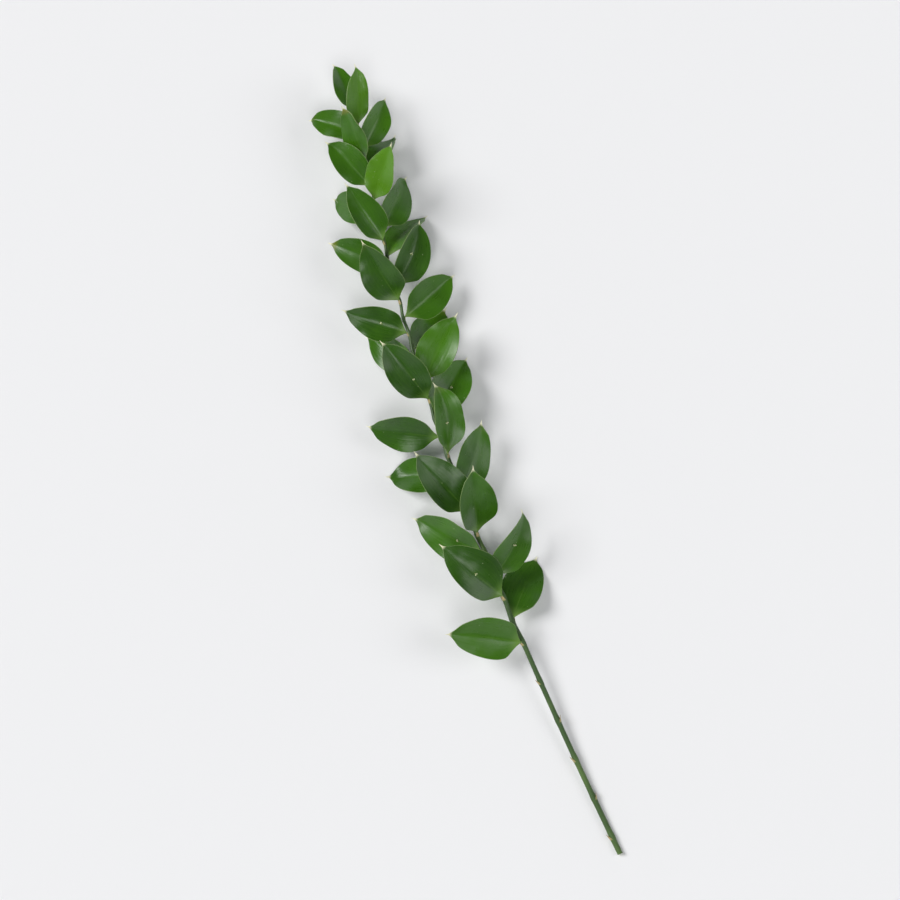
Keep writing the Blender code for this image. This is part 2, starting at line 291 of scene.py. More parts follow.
class GeometryGraph(Graph):
    """A Geometry Nodes tree with one named input for each size, and one for its finish."""

    def __init__(self, name, *sizes):
        super().__init__(bpy.data.node_groups.new(name, "GeometryNodeTree"))
        kinds = {"Guide": "NodeSocketGeometry"}
        for size in sizes:
            kinds[size] = "NodeSocketInt" if size in WHOLE_INPUTS else "NodeSocketFloat"
        kinds["Finish"] = "NodeSocketMaterial"
        for label, kind in kinds.items():
            self.tree.interface.new_socket(label, in_out="INPUT", socket_type=kind)
        self.tree.interface.new_socket("Piece", in_out="OUTPUT", socket_type="NodeSocketGeometry")
        self.given = self.node("NodeGroupInput")

    def __getitem__(self, name):
        """The tree's input of that name."""
        return self.given.other(name)

    def named(self, name, kind="FLOAT"):
        return self.node("GeometryNodeInputNamedAttribute", {"data_type": kind}, (name,))

    def named_vector(self, name):
        return self.named(name, "FLOAT_VECTOR")

    def position(self):
        return self.node("GeometryNodeInputPosition")

    def store(self, geometry, name, value, kind="FLOAT", domain="POINT"):
        settings = {"data_type": kind, "domain": domain}
        values = {"Geometry": geometry, "Name": name, "Value": value}
        return self.node("GeometryNodeStoreNamedAttribute", settings, values)

    def moved(self, geometry, **values):
        return self.node("GeometryNodeSetPosition", {}, {"Geometry": geometry, **values})

    def joined(self, *geometries):
        joint = self.node("GeometryNodeJoinGeometry")
        for geometry in geometries:
            self.tree.links.new(geometry.link, joint.link.node.inputs["Geometry"])
        return joint

    def placed(self, shape):
        """A copy of the shape at each point of the guide, its Z along and its Y outward there."""
        axes = {"primary_axis": "Z", "secondary_axis": "Y"}
        directions = (self.named_vector("along"), self.named_vector("outward"))
        turn = self.node("FunctionNodeAxesToRotation", axes, directions)
        values = {"Points": self["Guide"], "Instance": shape, "Rotation": turn}
        values["Scale"] = self.named("size")
        return self.node("GeometryNodeInstanceOnPoints", {}, values)

    def finish(self, geometry):
        """Ends the tree: copies made real, one finish, smooth shading."""
        real = self.node("GeometryNodeRealizeInstances", {}, (geometry,))
        shaded = self.node("GeometryNodeSetShadeSmooth", {}, (real,))
        values = {"Geometry": shaded, "Material": self["Finish"]}
        painted = self.node("GeometryNodeSetMaterial", {}, values)
        self.node("NodeGroupOutput", {}, (painted,))


# %% [markdown]
# ## Thin sheets
#
# A leaf, a scale and a bract are thin sheets, so they share how they are made. Each starts as a flat
# grid that is two units wide and one long, and is bent into place. Two copies of it are then pushed
# apart along the surface's own normal by half its thickness, which falls to nothing at the edges in
# a quarter circle, and the edges are welded: that gives a closed sheet with round edges.

# %% A tree that makes thin sheets
WELD = 0.0000001


class SheetGraph(GeometryGraph):
    """A tree for thin closed sheets."""

    def flat_grid(self, columns, rows):
        """A flat grid, and each point's place across it, 1 to -1, and along it, 0 to 1."""
        size = {"Size X": 2.0, "Size Y": 1.0, "Vertices X": columns, "Vertices Y": rows}
        grid = self.node("GeometryNodeMeshGrid", {}, size)
        x, y, _ = self.separate(self.position())
        return grid, x * -1, y + 0.5

    def charted(self, grid, across, share):
        """The grid, keeping its points' places under their names when it is bent."""
        grid = self.store(grid, "share", share)
        grid = self.store(grid, "across", across)
        return grid, self.named("across"), self.named("share")

    def pointed_grid(self, columns, rows):
        """A charted grid whose first row is drawn together to a point."""
        grid, across, share = self.flat_grid(columns, rows)
        return self.charted(grid, across * self.math("MINIMUM", share * rows, 1), share)

    def rim_depth(self, half, across, reach, length):
        """Half the sheet's thickness, which falls to nothing at its edges in a quarter circle."""
        deep = self["Thickness"] / 2
        ends = self.rounded(reach / deep) * self.rounded((length - reach) / deep)
        return self.rounded(half * (1 - abs(across)) / deep) * ends * deep

    def closed_sheet(self, sheet, above, below):
        """Two copies of a sheet pushed apart along its normal, and welded where they still meet."""
        normal = self.node("GeometryNodeInputNormal")
        top = self.moved(sheet, Offset=self.scaled(normal, above))
        under = self.moved(sheet, Offset=self.scaled(normal, below * -1))
        top = self.store(top, "under", 0.0, domain="FACE")
        under = self.store(under, "under", 1.0, domain="FACE")
        under = self.node("GeometryNodeFlipFaces", {}, (under,))
        both = {"Geometry": self.joined(top, under), "Distance": WELD}
        return self.node("GeometryNodeMergeByDistance", {}, both)


# %% Guides
def guide_mesh(points, values, linked=True):
    """A line of points, or loose points, with named directions and numbers at each."""
    mesh = bpy.data.meshes.new("guide")
    edges = [(place, place + 1) for place in range(len(points) - 1)] if linked else []
    mesh.from_pydata(points, edges, [])
    for name, listed in values.items():
        if isinstance(listed[0], Vector):
            flat = [part for value in listed for part in value]
            mesh.attributes.new(name, "FLOAT_VECTOR", "POINT").data.foreach_set("vector", flat)
        else:
            mesh.attributes.new(name, "FLOAT", "POINT").data.foreach_set("value", listed)
    return mesh


def spots_mesh(spots):
    """Loose points, one for each spot: its place, with its directions and numbers by name."""
    values = {name: [spot[name] for spot in spots] for name in spots[0]}
    return guide_mesh(values["place"], values, linked=False)


# %% Pieces grown from a guide
def grow(name, guide, graph, sizes, finish):
    """The piece that a tree makes from a guide, as an object with a plain mesh."""
    inputs = {**sizes, "Finish": finish}
    piece = bpy.data.objects.new(name, guide)
    bpy.context.scene.collection.objects.link(piece)
    modifier = piece.modifiers.new("grow", "NODES")
    modifier.node_group = graph.tree
    for socket in graph.tree.interface.items_tree:
        if socket.in_out == "INPUT" and socket.name in inputs:
            modifier[socket.identifier] = inputs[socket.name]
    bpy.context.view_layer.update()
    scene_state = bpy.context.evaluated_depsgraph_get()
    evaluated = piece.evaluated_get(scene_state)
    mesh = bpy.data.meshes.new_from_object(
        evaluated, preserve_all_data_layers=True, depsgraph=scene_state
    )
    mesh.name = name
    piece.modifiers.remove(modifier)
    piece.data = mesh
    bpy.data.meshes.remove(guide)
    return piece


# %% [markdown]
# ## Finishes: shader helpers
#
# Every finish is a Principled shader fed by procedural nodes. Only its colour, roughness and bump
# change over the surface. What is the same everywhere is a number on the shader's own socket. The
# sizes of a pattern are in millimetres, and the heights of a bump in metres.

# %% Make a finish
def srgb(red, green, blue):
    """A colour as given on a screen, 0 to 255, as the linear colour that shaders use."""
    def linear(part):
        part /= 255
        return part / 12.92 if part <= 0.04045 else ((part + 0.055) / 1.055) ** 2.4

    return (linear(red), linear(green), linear(blue), 1)


class Finish(Graph):
    """A material with one Principled shader."""

    def __init__(self, name, **constants):
        self.material = bpy.data.materials.new(name)
        self.material.use_nodes = True
        super().__init__(self.material.node_tree)
        self.shader = self.tree.nodes["Principled BSDF"]
        self.wear(**constants)

    def attribute(self, name):
        return self.node("ShaderNodeAttribute", {"attribute_name": name}, output="Fac")

    def place(self):
        """Where the shaded point is on the piece, in millimetres."""
        return self.scaled(self.node("ShaderNodeTexCoord", output="Object"), MM_PER_M)

    def layered(self, colour, *layers):
        """A colour with others laid over it in turn, each by its own mask."""
        for over, mask in layers:
            values = {0: mask, 6: colour, 7: over}
            colour = self.node("ShaderNodeMix", {"data_type": "RGBA"}, values, 2)
        return colour

    def bumps(self, height):
        """The bumped surface, from a height in metres."""
        return self.node("ShaderNodeBump", {}, {"Distance": 1.0, "Height": height})

    def wear(self, **sockets):
        """Feeds or sets the shader's inputs, whose names are written with underscores."""
        for name, value in sockets.items():
            self.feed(self.shader.inputs[name.replace("_", " ")], value)


# %% [markdown]
# ## The stem
#
# A real ruscus stem is finely ridged lengthwise and a little swollen at each node. A line of points
# follows the formulas above, with the radius at each, and a tree sweeps a ridged circle along it.
# The ridges are real relief: twelve low waves round the circle. Where the stem's foot lies on the
# table, its underside is flat, and its tip is rounded off behind the last leaf.

# %% The tree that sweeps the stem
STEM_SIZES = {"Sides": 60, "Ridges": 12.0, "Ridge Height": 0.022}


def stem_tree():
    graph = GeometryGraph("stem_sweep", *STEM_SIZES)
    line = graph.node("GeometryNodeMeshToCurve", {}, (graph["Guide"],))
    values = {"Resolution": graph["Sides"], "Radius": 1.0}
    circle = graph.node("GeometryNodeCurvePrimitiveCircle", {"mode": "RADIUS"}, values)
    place = graph.position()
    x, y, _ = graph.separate(place)
    wave = graph.math("COSINE", graph.math("ARCTAN2", y, x) * graph["Ridges"])
    circle = graph.store(circle, "ridge", 1 + wave * graph["Ridge Height"])
    circle = graph.moved(circle, Position=graph.scaled(place, graph.named("ridge")))
    sweep = {"Curve": line, "Profile Curve": circle, "Fill Caps": True}
    sweep["Scale"] = graph.named("radius")
    tube = graph.node("GeometryNodeCurveToMesh", {}, sweep)
    x, y, z = graph.separate(graph.position())
    above_table = graph.combine(x, y, graph.math("MAXIMUM", z, 0.0))
    graph.finish(graph.moved(tube, Position=above_table))
    return graph


# %% The finish of the stem
STEM_GREEN = srgb(58, 88, 34)
# The next colour, with the groove edge and strength below, paints shade into the grooves between the
# ridges.
STEM_GROOVE_SHADE = srgb(34, 58, 22)
STEM_PALE = srgb(98, 126, 56)
GROOVE_EDGE = (1.015, 0.985)
GROOVE_SHADE_STRENGTH = 0.6
PATCH_SIZE = 30
PATCH_EDGE = (0.45, 0.75)
PATCH_PALENESS = 0.45
CUT_PITH = srgb(186, 190, 138)
CUT_STRANDS = srgb(126, 124, 74)
CUT_DEPTH = 0.05
STRANDS_PER_MM = 2.2
STRAND_EDGE = (0.12, 0.3)
PITH_SHARE = (0.95, 0.85)
STEM_SHINE_SIZE = 6
STEM_ROUGHNESS = (0.36, 0.52)
GRAIN_STRETCH = (0.12, 1.0, 1.0)
GRAIN_SIZE = 0.35
GRAIN_HEIGHT = 0.00004


def stem_finish():
    """Green with painted groove shade, yellower in places, and pale with strands at the cut."""
    finish = Finish("stem_green")
    place = finish.place()
    # Painted shade: the grooves between the ridges are darkened in colour, as if shadowed.
    groove_shade = finish.fade(finish.attribute("ridge"), *GROOVE_EDGE)
    patches = finish.fade(finish.noise(place, PATCH_SIZE), *PATCH_EDGE)

    ahead = stem_frame(FRAME_STEP)[1]
    inward = finish.vector("SUBTRACT", place, CUT_END * MM_PER_M)
    depth = finish.vector("DOT_PRODUCT", inward, ahead).other("Value")
    radial = finish.vector("LENGTH", inward).other("Value")
    pith = finish.fade(radial, *(CUT_RADIUS * MM_PER_M * share for share in PITH_SHARE))
    cells = {"Vector": place, "Scale": STRANDS_PER_MM}
    strands = finish.fade(finish.node("ShaderNodeTexVoronoi", {}, cells), *STRAND_EDGE)

    grain = finish.noise(finish.vector("MULTIPLY", place, GRAIN_STRETCH), GRAIN_SIZE, 4)
    finish.wear(
        Base_Color=finish.layered(
            STEM_GREEN,
            (STEM_GROOVE_SHADE, groove_shade * GROOVE_SHADE_STRENGTH),
            (STEM_PALE, patches * PATCH_PALENESS),
            (
                finish.layered(CUT_STRANDS, (CUT_PITH, strands)),
                finish.fade(depth, CUT_DEPTH * 2, CUT_DEPTH) * pith,
            ),
        ),
        Roughness=blend(*STEM_ROUGHNESS, finish.noise(place, STEM_SHINE_SIZE)),
        Normal=finish.bumps(grain * GRAIN_HEIGHT),
    )
    return finish.material


# %% The stem itself
STEM_STEP = 0.0016
DOME_LENGTH = 0.0011
DOME_STEPS = 8


def stem_stops():
    """Distances along the stem, close together where its tip is rounded off."""
    straight = STEM_LENGTH - DOME_LENGTH
    count = round(straight / STEM_STEP)
    stops = [straight * step / count for step in range(count + 1)]
    turns = [math.pi / 2 * step / DOME_STEPS for step in range(1, DOME_STEPS)]
    return stops + [straight + DOME_LENGTH * math.sin(turn) for turn in turns]


def rounded_radius(along):
    """Radius of the fine stem, swollen at every node and rounded off at its tip."""
    past = max(0.0, 1 - (STEM_LENGTH - along) / DOME_LENGTH)
    return stem_radius(along, nodes + bare_nodes) * math.sqrt(1 - past * past)


def make_stem():
    stops = stem_stops()
    radii = [rounded_radius(stop) for stop in stops]
    guide = guide_mesh([stem_point(stop) for stop in stops], {"radius": radii})
    return grow("stem", guide, stem_tree(), STEM_SIZES, stem_finish())


stem = make_stem()
print("stem:", len(stem.data.polygons), "faces")

# %% [markdown]
# ## How each leaf is drawn
#
# No two leaves of a real stem are alike, but all follow one rule: a midrib that arches, an outline
# with a short stalk and a fine point, a blade that is folded along its middle and waved at its two
# margins. The numbers of each leaf are drawn at random from a fixed seed, in the same order as in
# the solid model, so that each fine leaf lies where its solid one does. Where a size is a pair, it
# runs from the lowest leaf to the top one, or is the range that a draw is made from.

# %% The ranges that leaves are drawn from
LENGTHS = (0.069, 0.054)
WIDTH_SHARES = (0.53, 0.47)
LEANS = (math.radians(59), math.radians(41))
END_LEAN_SHARE = 0.5
AZIMUTHS = (math.radians(22), math.radians(120))
ROLL = math.radians(13)
GOLDEN_SHARE = (math.sqrt(5) - 1) / 2
FIRST_TURN = {1: 0.45, -1: 0.8}
RESTING_LEAVES = (14, 15)
RESTING_LEAN = math.radians(62)
RESTING_AZIMUTH = math.radians(132)
SEED = 3
AZIMUTH_STRAY = 0.28
LEAN_STRAY = 0.3
ROLL_STRAY = 0.5
LENGTH_SPREAD = (0.92, 1.06)
WIDTH_SPREAD = (0.93, 1.07)
SHAPE_RANGES = {
    "Base Power": (0.62, 0.78),
    "Tip Power": (0.8, 1.02),
    "Fold": (0.14, 0.56),
    "Arch": (0.1, 0.8),
    "Flick": (-0.48, 0.64),
    "Sickle": (-0.2, 0.2),
    "Twist": (-0.55, 0.55),
    "Wave Height 1": (0.0006, 0.0019),
    "Wave Height 2": (0.0006, 0.0019),
    "Wave Count 1": (1.2, 2.3),
    "Wave Count 2": (1.2, 2.3),
    "Wave Start 1": (0, math.tau),
    "Wave Start 2": (0, math.tau),
}

# %% What all leaves share
SOLID_THICKNESS = 0.0008
STALK_SHARE = 0.05
SPINE_SHARE = 0.035
SPINE_RADIUS = 0.0004
RIB_FADE = 0.5
FLICK_START = 0.6
CREASE = 0.16
MARGIN_POWER = 2.2
MIDRIB_BENDS = ("Arch", "Flick", "Sickle", "Twist")
RIB_STEPS = 48
FLOOR_CLEARANCE = 0.0007
PRESS_SOFTNESS = 0.0016
PRESS_DEPTH = 0.0001


# %% One leaf: its numbers, and the line of its midrib
class Leaf:
    """One leaf: its midrib's curve, its outline, and how its blade is folded and waved."""

    def __init__(self, draw, number, freedom):
        along = nodes[number]
        side = leaf_side(number)
        self.rise = (along - nodes[0]) / (nodes[-1] - nodes[0])
        self.resting = number in RESTING_LEAVES
        turn = (GOLDEN_SHARE * (number // 2) + FIRST_TURN[side]) % 1
        azimuth = RESTING_AZIMUTH if self.resting else blend(*AZIMUTHS, turn)
        self.azimuth = side * (azimuth + freedom * draw.uniform(-AZIMUTH_STRAY, AZIMUTH_STRAY))
        lean = RESTING_LEAN if self.resting else blend(*LEANS, self.rise)
        lean += freedom * draw.uniform(-LEAN_STRAY, LEAN_STRAY)
        if number == len(nodes) - 1:
            lean *= END_LEAN_SHARE
        roll = -side * ROLL + freedom * draw.uniform(-ROLL_STRAY, ROLL_STRAY)

        length = blend(*LENGTHS, self.rise**2) * draw.uniform(*LENGTH_SPREAD)
        half = length * blend(*WIDTH_SHARES, self.rise) / 2 * draw.uniform(*WIDTH_SPREAD)
        lowest = SOLID_THICKNESS / 2 + (-PRESS_DEPTH if self.resting else FLOOR_CLEARANCE)
        self.sizes = {"Length": length, "Half Width": half, "Lowest": lowest}
        self.sizes["Stalk"] = stem_radius(along, nodes)
        self.sizes |= {name: draw.uniform(*spread) for name, spread in SHAPE_RANGES.items()}
        if self.resting:
            self.sizes["Arch"] *= -1

        place, ahead, up, beside = stem_frame(along)
        outward = up * math.cos(self.azimuth) + beside * math.sin(self.azimuth)
        heading = ahead * math.cos(lean) + outward * math.sin(lean)
        across = Vector((0, 0, 1)).cross(heading).normalized()
        face = Quaternion(heading, roll) @ heading.cross(across)
        self.frames = self.carry(place, heading, face)

    def __getitem__(self, name):
        """The leaf's number of that name."""
        return self.sizes[name]

    def carry(self, place, heading, face):
        """Frames along the midrib, which arches, and flicks up or down towards its point."""
        arch, flick, sickle, twist = (self.sizes.pop(name) for name in MIDRIB_BENDS)
        frames = []
        for count in range(RIB_STEPS + 1):
            across = face.cross(heading)
            frames.append((place, across, face))
            late = smooth((count / RIB_STEPS - FLICK_START) / (1 - FLICK_START))
            bend = arch + flick * 2 * late / (1 - FLICK_START)
            turn = (
                Quaternion(across, bend / RIB_STEPS)
                @ Quaternion(face, sickle / RIB_STEPS)
                @ Quaternion(heading, twist / RIB_STEPS)
            )
            heading = (turn @ heading).normalized()
            face = (turn @ face).normalized()
            place = place + heading * (self["Length"] / RIB_STEPS)
        return frames


# %% How a leaf's surface runs
def midrib_frame(leaf, share):
    """Place on the midrib, and the directions across the blade and up from its upper face."""
    exact = min(max(share, 0.0), 1.0) * RIB_STEPS
    low = min(int(exact), RIB_STEPS - 1)
    pairs = zip(leaf.frames[low], leaf.frames[low + 1])
    return [start.lerp(end, exact - low) for start, end in pairs]


def oval(sizes, inner):
    """Half the blade's width without its stalk, from one leaf's numbers or a tree's inputs."""
    widest = sizes["Base Power"] / (sizes["Base Power"] + sizes["Tip Power"])
    towards_base = (inner / widest) ** sizes["Base Power"]
    towards_tip = ((1 - inner) / (1 - widest)) ** sizes["Tip Power"]
    return sizes["Half Width"] * towards_base * towards_tip


def half_width(leaf, share):
    """Half the leaf's width: a stalk, a pointed oval blade and a fine spine."""
    inner = (share - STALK_SHARE) / (1 - STALK_SHARE - SPINE_SHARE)
    rib = blend(leaf["Stalk"] / 2, SPINE_RADIUS, smooth(share / RIB_FADE))
    return math.hypot(oval(leaf, min(max(inner, 0.0), 1.0)), rib)


def free_point(leaf, share, across):
    """A point of the free blade's middle surface, `across` from -1 to 1 over its width."""
    place, sideways, face = midrib_frame(leaf, share)
    half = half_width(leaf, share)
    edge = 1 if across < 0 else 2
    turns = math.tau * leaf[f"Wave Count {edge}"] * share + leaf[f"Wave Start {edge}"]
    outwards = leaf[f"Wave Height {edge}"] * abs(across) ** MARGIN_POWER
    wave = outwards * math.sin(math.pi * share) * math.sin(turns)
    lift = leaf["Fold"] * half * (math.hypot(across, CREASE) - CREASE) + wave
    return place + sideways * (half * across) + face * lift


def pressed(leaf, point):
    """Where the surface bends that point to: its height fades into the leaf's lowest."""
    above = (point.z - leaf["Lowest"]) / PRESS_SOFTNESS
    height = leaf["Lowest"] + PRESS_SOFTNESS * math.log1p(math.exp(above))
    return Vector((point.x, point.y, height))


# %% [markdown]
# ## Leaves that keep out of each other
#
# A leaf that would cut through a neighbour, the stem or the table is drawn again, a little more
# freely each time. The test uses a coarse grid of each leaf and a search tree of its triangles,
# which makes the whole draw a matter of seconds.

# %% The grid that a leaf is tested on
TEST_COLUMNS = 4
TEST_ROWS = 10
TEST_FIRST_ROW = 3


def test_grid(leaf):
    """Points and triangles of a coarse grid on the free blade, without its stalk."""
    width = TEST_COLUMNS + 1
    shares = [(1 - math.cos(math.pi * row / TEST_ROWS)) / 2 for row in range(TEST_ROWS + 1)]
    points = [
        free_point(leaf, share, 2 * column / TEST_COLUMNS - 1)
        for share in shares[TEST_FIRST_ROW:]
        for column in range(width)
    ]
    triangles = []
    for row in range(TEST_ROWS - TEST_FIRST_ROW):
        for column in range(TEST_COLUMNS):
            near = row * width + column
            far = near + width
            if column < TEST_COLUMNS / 2:
                triangles += [(near, near + 1, far), (near + 1, far + 1, far)]
            else:
                triangles += [(near, near + 1, far + 1), (near, far + 1, far)]
    return points, triangles


# %% Tests and the draw
LEAF_CLEARANCE = 0.0016
STEM_CLEARANCE = 0.0016
MAX_TRIES = 400
FREEDOM_GAIN = 1.5
PRESSED_POINTS = 3
LEAST_AREA_KEPT = 0.4


def lies_well(leaf, free, points, triangles):
    """True if the surface squeezes no part of the leaf, and presses a resting leaf flat enough."""
    for corners in triangles:
        before = area_tri(*(free[corner] for corner in corners))
        after = area_tri(*(points[corner] for corner in corners))
        if after < LEAST_AREA_KEPT * before:
            return False
    flat = [point for point in points if point.z < leaf["Lowest"] + PRESS_DEPTH / 2]
    return not leaf.resting or len(flat) >= PRESSED_POINTS


def is_clear(tree, points, others):
    """True if a leaf keeps its clearances to the others and to the stem."""
    for other_tree, other_points in others:
        if tree.overlap(other_tree):
            return False
        for near, spots in ((other_tree, points), (tree, other_points)):
            if any(near.find_nearest(spot, LEAF_CLEARANCE)[0] for spot in spots):
                return False
    for point in points:
        along = point.x - CUT_END.x
        if along < STEM_LENGTH:
            gap = (point - stem_point(along)).length - stem_radius(along, nodes)
            if gap < STEM_CLEARANCE:
                return False
    return True


def draw_leaves():
    draw = random.Random(SEED)
    drawn = []
    tested = []
    for number in range(len(nodes)):
        for attempt in range(MAX_TRIES):
            leaf = Leaf(draw, number, 1 + FREEDOM_GAIN * attempt / MAX_TRIES)
            free, triangles = test_grid(leaf)
            points = [pressed(leaf, point) for point in free]
            tree = BVHTree.FromPolygons(points, triangles)
            lies = lies_well(leaf, free, points, triangles)
            if lies and is_clear(tree, points, tested):
                break
        drawn.append(leaf)
        tested.append((tree, points))
    return drawn


leaves = draw_leaves()
lengths = [round(leaf["Length"] * MM_PER_M) for leaf in leaves]
print(f"{len(leaves)} leaves, {min(lengths)} to {max(lengths)} mm long")

# %% [markdown]
# ## The blade of a leaf
#
# The blade is the finest of the sheets. The rows of its grid crowd at both ends and its columns at
# the margins, where the form is finest, but in the thin spine the columns run evenly, so that none
# fall together. The grid is laid on the midrib, given the outline, folded, waved and pressed against
# the table. The sheet's two faces also carry the raised midrib and the main veins.

# %% The outline of the fine blade
FOOT_ROUNDING = 0.001
WEDGE_END = 0.24
WEDGE = 0.5
PINCH_START = 0.82
PINCH = 0.55
SPINE_TAPER = 0.75


def rounded_foot(graph, share):
    """Rounds off the stalk's end inside the stem."""
    return graph.rounded(share * graph["Length"] / FOOT_ROUNDING)


def outline(graph, share):
    """Half the leaf's width: a stalk, an oval drawn in at both ends, and a tapering spine."""
    inner = graph.clamped((share - STALK_SHARE) / (1 - STALK_SHARE - SPINE_SHARE))
    pinch = 1 - graph.fade(share, PINCH_START, 1 - SPINE_SHARE) * PINCH
    wedge = 1 - graph.fade(share, WEDGE_END, STALK_SHARE) * WEDGE
    blade = oval(graph, inner) * pinch * wedge
    rib = graph.fade(share, 0, RIB_FADE, graph["Stalk"] / 2, SPINE_RADIUS)
    rib = rib * graph.math("MINIMUM", (1 - share) / SPINE_SHARE, 1) ** SPINE_TAPER
    rib = rib * rounded_foot(graph, share)
    return graph.math("SQRT", blade * blade + rib * rib)


# %% How the fine blade is folded and waved
FOLD_START = 0.02
FOLD_FULL = 0.08
EVEN_START = 0.9


def fullness(graph, share):
    """Rises from 0 at the foot to 1 halfway, and falls to 0 at the point."""
    return graph.math("SINE", share * math.pi)


def margin_wave(graph, share, across):
    """How far the two margins wave up and down, each in its own rhythm."""
    right = graph.math("GREATER_THAN", across, 0.0)

    def of_side(name):
        return blend(graph[name + " 1"], graph[name + " 2"], right)

    swing = graph.math("SINE", share * of_side("Wave Count") * math.tau + of_side("Wave Start"))
    return of_side("Wave Height") * (abs(across) ** MARGIN_POWER * fullness(graph, share)) * swing


def fold_lift(graph, share, across, half):
    """How far the blade stands up from its crease, which runs out in the stalk and the spine."""
    crease = graph.math("SQRT", across * across + CREASE * CREASE) - CREASE
    fold = graph["Fold"] * graph.fade(share, FOLD_START, FOLD_FULL)
    return fold * graph.fade(share, 1 - SPINE_SHARE, EVEN_START) * half * crease


# %% The middle surface of the fine blade
HOOK_START = 0.83
UNEVENNESS = 0.0009
UNEVEN_SIZE = 0.014
UNEVEN_FADES = ((0.1, 0.3), (0.95, 0.8))


def pressed_down(graph, place):
    """The place bent as the solid is: its height fades into the leaf's lowest."""
    x, y, z = graph.separate(place)
    above = (z - graph["Lowest"]) / PRESS_SOFTNESS
    soft = graph.math("LOGARITHM", graph.math("EXPONENT", above) + 1, math.e)
    return graph.combine(x, y, graph["Lowest"] + soft * PRESS_SOFTNESS)


def middle_surface(graph, share, across, half):
    """The blade's middle surface, one side narrower, laid on the midrib and pressed on the table."""
    line = graph.node("GeometryNodeMeshToCurve", {}, (graph["Guide"],))
    settings = {"data_type": "FLOAT_VECTOR", "mode": "FACTOR"}

    def on_midrib(name):
        values = {"Curves": line, "Value": graph.named_vector(name), "Factor": share}
        return graph.node("GeometryNodeSampleCurve", settings, values)

    sideways = on_midrib("sideways")
    late = graph.fade(share, HOOK_START, 1)
    narrowed = graph.math("MAXIMUM", graph["Lopsided"] * across, 0) * fullness(graph, share)
    width = half * across * (1 - narrowed)
    aside = graph.scaled(sideways, width + late * graph["Hook Aside"])
    flat = graph.vector("ADD", sideways.other("Position"), aside)
    uneven = (graph.noise(flat, UNEVEN_SIZE, 1) - 0.5) * UNEVENNESS
    for start, end in UNEVEN_FADES:
        uneven = uneven * graph.fade(share, start, end)
    lift = fold_lift(graph, share, across, half) + margin_wave(graph, share, across)
    lift = lift + uneven + late * graph["Hook Up"]
    place = graph.vector("ADD", flat, graph.scaled(on_midrib("face"), lift))
    return pressed_down(graph, place)


# %% The tree that grows a blade
ROW_CROWDING = 0.9
EVEN_END = 0.97
STALK_FADE = 0.08
MAIN_VEINS = 5
VEIN_SHARPNESS = 3
VEIN_RELIEF = 0.00002
RIB_HALF_WIDTH = 0.0006
TOP_RIB = 0.00008
TOP_RIB_FADE = (0.6, 0.1)
UNDER_RIB = 0.00028
UNDER_RIB_FADE = (0.95, 0.1)


def blade_grid(graph):
    """The flat grid of the blade, and each point's place across and along it."""
    grid, across, share = graph.flat_grid(graph["Columns"], graph["Rows"])
    crowded = (1 - graph.math("COSINE", share * math.pi)) / 2
    share = blend(share, crowded, ROW_CROWDING)
    crowded = graph.math("SINE", across * (math.pi / 2))
    across = blend(across, crowded, graph.fade(share, EVEN_END, EVEN_START))
    return graph.charted(grid, across, share)


def leaf_tree(sizes):
    graph = SheetGraph("leaf_blade", *sizes)
    grid, across, share = blade_grid(graph)
    half = outline(graph, share)
    inwards = half * (1 - abs(across))
    for name, value in (("margin", inwards), ("tone", graph["Tone"]), ("wear", graph["Wear"])):
        grid = graph.store(grid, name, value)
    chart = graph.combine(across / 2 + 0.5, share, 0.0)
    grid = graph.store(grid, "UVMap", chart, "FLOAT2", "CORNER")
    blade = graph.moved(grid, Position=middle_surface(graph, share, across, half))

    blade_start = STALK_SHARE + STALK_FADE
    thick = graph.fade(share, STALK_SHARE, blade_start, graph["Stalk"], graph["Thickness"])
    deep = graph.math("MINIMUM", thick / 2, half)
    rim = graph.rounded(inwards / deep) * rounded_foot(graph, share)
    veins = graph.math("COSINE", across * (MAIN_VEINS * math.tau)) * 0.5 + 0.5
    veins = veins**VEIN_SHARPNESS * fullness(graph, share) * (1 - abs(across)) * VEIN_RELIEF
    rib = graph.fade(abs(across) * half, RIB_HALF_WIDTH * 2, 0)
    top_rib = rib * graph.fade(share, *TOP_RIB_FADE) * TOP_RIB
    under_rib = rib * graph.fade(share, *UNDER_RIB_FADE) * UNDER_RIB
    above = (deep + veins + top_rib) * rim
    below = (deep + veins + under_rib) * rim
    graph.finish(graph.closed_sheet(blade, above, below))
    return graph


# %% [markdown]
# ## The finish of the leaves
#
# Fresh ruscus leaves are deep green and leathery. The upper face has a soft waxy shine, streaked by
# fine lengthwise veins, and the underside is paler and matte. A thin pale line runs round the
# margin, and the point is a small whitish horn. The young leaves near the tip are lighter. The tree
# above left these measures on the mesh: the place across and along the blade, the distance from the
# margin, the side, and for each leaf a tone and how worn it is.

# %% Leaf colours
DEEP_GREEN = srgb(36, 72, 10)
LEAF_GREEN = srgb(62, 111, 14)
YOUNG_GREEN = srgb(98, 148, 28)
UNDER_GREEN = srgb(84, 114, 68)
BASE_GREEN = srgb(112, 148, 66)
MARGIN_PALE = srgb(150, 170, 110)
SPINE_PALE = srgb(232, 230, 194)
SPECK_PALE = srgb(190, 204, 160)
WORN_YELLOW = srgb(142, 138, 52)

# %% Leaf patterns
# A pattern has its size, and its detail where that isn't 2. One on the leaf's chart starts with its
# counts across, along and from leaf to leaf.
BLOTCHES = (22, 3)
DRIFT = 0.12
DRIFT_PATTERN = ((2, 1.5, 9), 0.7)
STREAK_PATTERN = ((16, 1.6, 7), 0.6, 4)
FOLD_PATTERN = ((5, 1.2, 3), 0.6)
VEIN_EDGE = (0.8, 1.0)
VEIN_REACH = (0.98, 0.7)


